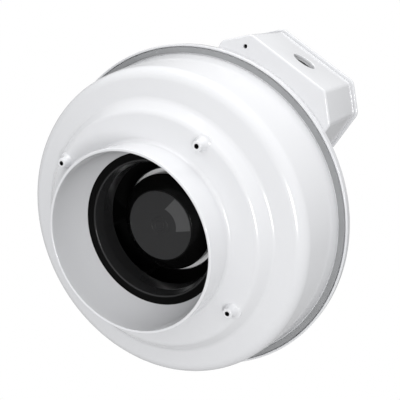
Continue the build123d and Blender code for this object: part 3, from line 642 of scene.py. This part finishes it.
def hub():
    """Black cap with a grey disc on its front, a paler sector on the disc as a painted highlight, and two
    grooves round its centre.
    """
    front = FACE_Y + FACE_STEP
    shell = [(CAP_R, CAN_STEP_Y), (CAP_R, CAP_SHOULDER_Y, 3.0), (FACE_R + 0.7, front, 1.0), (0.0, front)]
    inner = [(0.0, front + 2.1), (FACE_R - 0.1, front + 2.1), (CAP_R - CAP_T, CAP_SHOULDER_Y + 0.9, 1.0),
             (CAP_R - CAP_T, CAN_STEP_Y)]
    stands_for(turned("hub_shell", shell + inner), "black_gloss", "hub_cap")
    face = [(0.0, front + 0.1), (FACE_R, front + 0.1), (FACE_R, FACE_Y, 0.3)]
    for ring, depth in FACE_RINGS:
        face += [(ring + 1.0, FACE_Y), (ring + 0.7, FACE_Y + depth, 0.2),
                 (ring + 0.3, FACE_Y + depth, 0.2), (ring, FACE_Y)]
    face.append((0.0, FACE_Y))
    stands_for(turned("hub_face", face), "black_hub", "hub_cap")
    # Painted highlight: the paler sector, a thin sheet on the disc's face.
    outer, inner = [[polar(radius, HIGHLIGHT_TURN + start + sweep * i / 24) for i in range(25)]
                    for radius, start, sweep in (HIGHLIGHT_OUTER, HIGHLIGHT_INNER)]
    sections = [[(x, y, z) for x, z in outer + inner[::-1]] for y in (FACE_Y + 0.15, FACE_Y - HIGHLIGHT_T)]
    stands_for(lofted("hub_painted_highlight", sections), "hub_painted_highlight", "hub_cap")


def rotor_can():
    """Stepped rotor shell with the impeller's flange."""
    front = [(SHAFT_R, CAN_FRONT_Y), (CAN_STEP_R, CAN_FRONT_Y, 0.3), (CAN_STEP_R, CAN_STEP_Y),
             (CAN_R, CAN_STEP_Y, 1.5)]
    low, high = CAN_FLANGE_Y
    flange = [(CAN_R, low), (CAN_FLANGE_R, low, 0.3), (CAN_FLANGE_R, high, 0.3), (CAN_R, high)]
    rear = [(CAN_R, CAN_REAR_Y, 0.4), (CAN_R - CAN_WALL, CAN_REAR_Y)]
    inside = [(CAN_R - CAN_WALL, CAN_STEP_Y + CAN_WALL, 1.0), (CAN_STEP_R - CAN_WALL, CAN_STEP_Y + CAN_WALL),
              (CAN_STEP_R - CAN_WALL, CAN_FRONT_Y + CAN_WALL)]
    boss = [(CAN_BOSS_R, CAN_FRONT_Y + CAN_WALL), (CAN_BOSS_R, CAN_BOSS_REAR_Y), (SHAFT_R, CAN_BOSS_REAR_Y)]
    stands_for(turned("rotor_shell", front + flange + rear + inside + boss), "rotor_metal", "rotor_can")


front_casing()
rear_casing()
joint_strip()
terminal_box()
terminal_lid()
inlet_ring()
hub()
rotor_can()

# --- Camera, light and floor ------------------------------------------------------------------
VIEW_TURN = 28.41           # the photograph's view, in degrees: round the fan from its inlet,
VIEW_RISE = 15.97           # above the fan's axis,
VIEW_ROLL = 33.3            # and the fan's own tilt in its duct
VIEW_DISTANCE = 590.0
VIEW_SHIFT = (11.63, 10.30)  # the camera's shift from the flange's centre, to its right and upwards
LENS = 59.445               # focal length with Blender's 36 mm sensor

turn, rise = math.radians(VIEW_TURN), math.radians(VIEW_RISE)
tilt = Matrix.Rotation(math.radians(-VIEW_ROLL), 3, "Y")
back = tilt @ Vector((math.sin(turn) * math.cos(rise), -math.cos(turn) * math.cos(rise), math.sin(rise)))
right = tilt @ Vector((math.cos(turn), math.sin(turn), 0.0))
up = back.cross(right)
flange_centre = Vector((0.0, -INLET_Y * MM, 0.0))
camera = bpy.data.objects.new("camera", bpy.data.cameras.new("camera"))
bpy.context.scene.collection.objects.link(camera)
camera.data.lens = LENS
rotation = Matrix((right, up, back)).transposed().to_4x4()
camera.matrix_world = Matrix.Translation(
    flange_centre + (right * VIEW_SHIFT[0] + up * VIEW_SHIFT[1] + back * VIEW_DISTANCE) * MM) @ rotation
bpy.context.scene.camera = camera


def area_light(name, direction, distance, size, power):
    """A soft box, in metres and watts. Its direction is in the camera's view: right, up and towards it."""
    data = bpy.data.lights.new(name, "AREA")
    data.shape = "RECTANGLE"
    data.size, data.size_y = size
    data.energy = power
    lamp = bpy.data.objects.new(name, data)
    bpy.context.scene.collection.objects.link(lamp)
    towards = (right * direction[0] + up * direction[1] + back * direction[2]).normalized()
    side = up.cross(towards).normalized()
    upright = towards.cross(side)
    turn = Matrix((side, upright, towards)).transposed().to_4x4()
    lamp.matrix_world = Matrix.Translation(flange_centre + towards * distance) @ turn


def studio_world(towards, low, high):
    """White where the camera sees it. As light, it brightens from low to high towards a direction."""
    world = bpy.data.worlds.new("studio")
    bpy.context.scene.world = world
    world.use_nodes = True
    nodes, links = world.node_tree.nodes, world.node_tree.links
    nodes.clear()
    output = nodes.new("ShaderNodeOutputWorld")
    choose = nodes.new("ShaderNodeMixShader")
    seen = nodes.new("ShaderNodeBackground")
    lit = nodes.new("ShaderNodeBackground")
    rays = nodes.new("ShaderNodeLightPath")
    seen.inputs["Color"].default_value = (1.0, 1.0, 1.0, 1.0)
    lit.inputs["Color"].default_value = (0.985, 0.99, 1.0, 1.0)
    where = nodes.new("ShaderNodeTexCoord")
    dot = nodes.new("ShaderNodeVectorMath")
    dot.operation = "DOT_PRODUCT"
    dot.inputs[1].default_value = towards.normalized()
    links.new(where.outputs["Generated"], dot.inputs[0])
    ramp = nodes.new("ShaderNodeMapRange")
    ramp.inputs["From Min"].default_value = -1.0
    ramp.inputs["From Max"].default_value = 1.0
    ramp.inputs["To Min"].default_value = low
    ramp.inputs["To Max"].default_value = high
    links.new(dot.outputs["Value"], ramp.inputs["Value"])
    links.new(ramp.outputs["Result"], lit.inputs["Strength"])
    links.new(rays.outputs["Is Camera Ray"], choose.inputs["Fac"])
    links.new(lit.outputs["Background"], choose.inputs[1])
    links.new(seen.outputs["Background"], choose.inputs[2])
    links.new(choose.outputs["Shader"], output.inputs["Surface"])


def studio_floor(drop, size):
    """A grey floor below the fan, which the camera sees as white from above and not at all from below.
    In metres."""
    bm = bmesh.new()
    bmesh.ops.create_grid(bm, x_segments=1, y_segments=1, size=size)
    floor = finished(bm, "floor")
    floor.location = (0.0, 0.0, cad_box[0][2] - drop)
    made, tree, shader = material("grey_floor", (0.42, 0.42, 0.42), 0.6)
    glow = tree.nodes.new("ShaderNodeEmission")
    pick = tree.nodes.new("ShaderNodeMixShader")
    rays = tree.nodes.new("ShaderNodeLightPath")
    tree.links.new(rays.outputs["Is Camera Ray"], pick.inputs["Fac"])
    tree.links.new(shader.outputs["BSDF"], pick.inputs[1])
    tree.links.new(glow.outputs["Emission"], pick.inputs[2])
    clear = tree.nodes.new("ShaderNodeBsdfTransparent")
    side = tree.nodes.new("ShaderNodeNewGeometry")
    from_below = tree.nodes.new("ShaderNodeMixShader")
    tree.links.new(side.outputs["Backfacing"], from_below.inputs["Fac"])
    tree.links.new(pick.outputs["Shader"], from_below.inputs[1])
    tree.links.new(clear.outputs["BSDF"], from_below.inputs[2])
    tree.links.new(from_below.outputs["Shader"], tree.nodes["Material Output"].inputs["Surface"])
    floor.data.materials.append(made)


area_light("key", direction=(0.12, 1.0, 0.20), distance=1.5, size=(1.1, 0.9), power=8.5)
area_light("strip", direction=(0.07, -0.30, 1.0), distance=1.3, size=(0.13, 0.36), power=4.8)
studio_world(towards=up * 0.78 - right * 0.04 + back * 0.72, low=0.0, high=1.12)
studio_floor(drop=0.25, size=6.0)

bpy.context.scene.view_settings.view_transform = "Standard"
